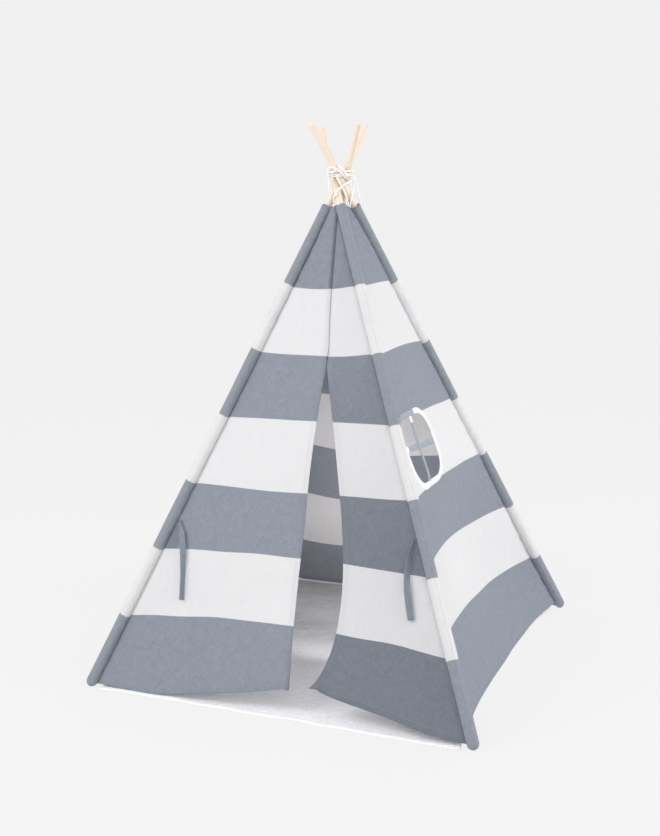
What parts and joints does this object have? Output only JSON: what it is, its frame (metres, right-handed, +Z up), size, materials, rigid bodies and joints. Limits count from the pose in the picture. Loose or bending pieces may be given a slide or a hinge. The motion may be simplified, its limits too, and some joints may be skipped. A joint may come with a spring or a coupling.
{
  "type": "teepee tent",
  "caption": "Children's play teepee: striped canvas cover on crossed poles tied at the top, with a split door, a side window and a floor mat.",
  "frame": {"origin": "on the ground, at the centre of the square base", "axes": "+Z up; the door faces -Y; +X to the right of someone facing the door, the side with the window"},
  "size_m": [1.236, 1.236, 1.6952],
  "materials": {
    "pine": "smooth sanded pine, unvarnished",
    "ferrule_steel": "drawn tube, satin",
    "striped_canvas": "plain-weave cotton canvas in wide grey and white stripes",
    "trim_cloth": "folded cotton binding",
    "mat_cloth": "white cotton sheeting with a stitched hem",
    "cotton_cord": "twisted cotton cord"
  },
  "bodies": {
    "cover": {"front_left_sleeve": "striped_canvas", "front_right_sleeve": "striped_canvas", "back_right_sleeve": "striped_canvas", "back_left_sleeve": "striped_canvas", "front_panel_left": "striped_canvas", "front_panel_right": "striped_canvas", "right_panel": "striped_canvas", "back_panel": "striped_canvas", "left_panel": "striped_canvas", "window_trim": "trim_cloth", "window_facing": "trim_cloth", "window_strap_upright": "striped_canvas", "window_strap_cross": "striped_canvas", "floor_mat": "mat_cloth", "mat_binding": "mat_cloth", "lashing_cord": "cotton_cord", "lashing_knot": "cotton_cord", "lashing_tail_left": "cotton_cord", "lashing_tail_right": "cotton_cord", "cover_cord_front": "cotton_cord", "cover_cord_right": "cotton_cord", "cover_cord_side": "cotton_cord"},
    "front_left_pole": {"front_left_pole_lower": "pine", "front_left_pole_middle": "pine", "front_left_pole_upper": "pine", "front_left_pole_low_ferrule": "ferrule_steel", "front_left_pole_high_ferrule": "ferrule_steel"},
    "front_right_pole": {"front_right_pole_lower": "pine", "front_right_pole_middle": "pine", "front_right_pole_upper": "pine", "front_right_pole_low_ferrule": "ferrule_steel", "front_right_pole_high_ferrule": "ferrule_steel"},
    "back_right_pole": {"back_right_pole_lower": "pine", "back_right_pole_middle": "pine", "back_right_pole_upper": "pine", "back_right_pole_low_ferrule": "ferrule_steel", "back_right_pole_high_ferrule": "ferrule_steel"},
    "back_left_pole": {"back_left_pole_lower": "pine", "back_left_pole_middle": "pine", "back_left_pole_upper": "pine", "back_left_pole_low_ferrule": "ferrule_steel", "back_left_pole_high_ferrule": "ferrule_steel"},
    "left_flap": {"door_flap_left": "striped_canvas"},
    "right_flap": {"door_flap_right": "striped_canvas"},
    "left_tie": {"door_tie_left": "striped_canvas"},
    "right_tie": {"door_tie_right": "striped_canvas"}
  },
  "joints": [
    {"name": "front_left_pole_slide", "type": "slide", "parent": "cover", "child": "front_left_pole", "axis": [0.3423, 0.3568, 0.8692], "range_m": [0, 1.6]},
    {"name": "front_right_pole_slide", "type": "slide", "parent": "cover", "child": "front_right_pole", "axis": [-0.3568, 0.3423, 0.8692], "range_m": [0, 1.6]},
    {"name": "back_right_pole_slide", "type": "slide", "parent": "cover", "child": "back_right_pole", "axis": [-0.3423, -0.3568, 0.8692], "range_m": [0, 1.6]},
    {"name": "back_left_pole_slide", "type": "slide", "parent": "cover", "child": "back_left_pole", "axis": [0.3568, -0.3423, 0.8692], "range_m": [0, 1.6]},
    {"name": "left_flap_hinge", "type": "hinge", "parent": "cover", "child": "left_flap", "pos_m": [-0.38, -0.60149, 0.01429], "axis": [-0.3688, -0.3468, -0.8624], "range_deg": [-40, 150]},
    {"name": "right_flap_hinge", "type": "hinge", "parent": "cover", "child": "right_flap", "pos_m": [0.43, -0.5944, 0.03192], "axis": [-0.3621, 0.3478, 0.8648], "range_deg": [-40, 150]},
    {"name": "left_tie_swing", "type": "hinge", "parent": "cover", "child": "left_tie", "pos_m": [-0.379, -0.4152, 0.48583], "axis": [0, -0.9278, 0.3731], "range_deg": [-28, 10]},
    {"name": "right_tie_swing", "type": "hinge", "parent": "cover", "child": "right_tie", "pos_m": [0.372, -0.41147, 0.49511], "axis": [0, -0.9278, 0.3731], "range_deg": [-9, 15]}
  ]
}
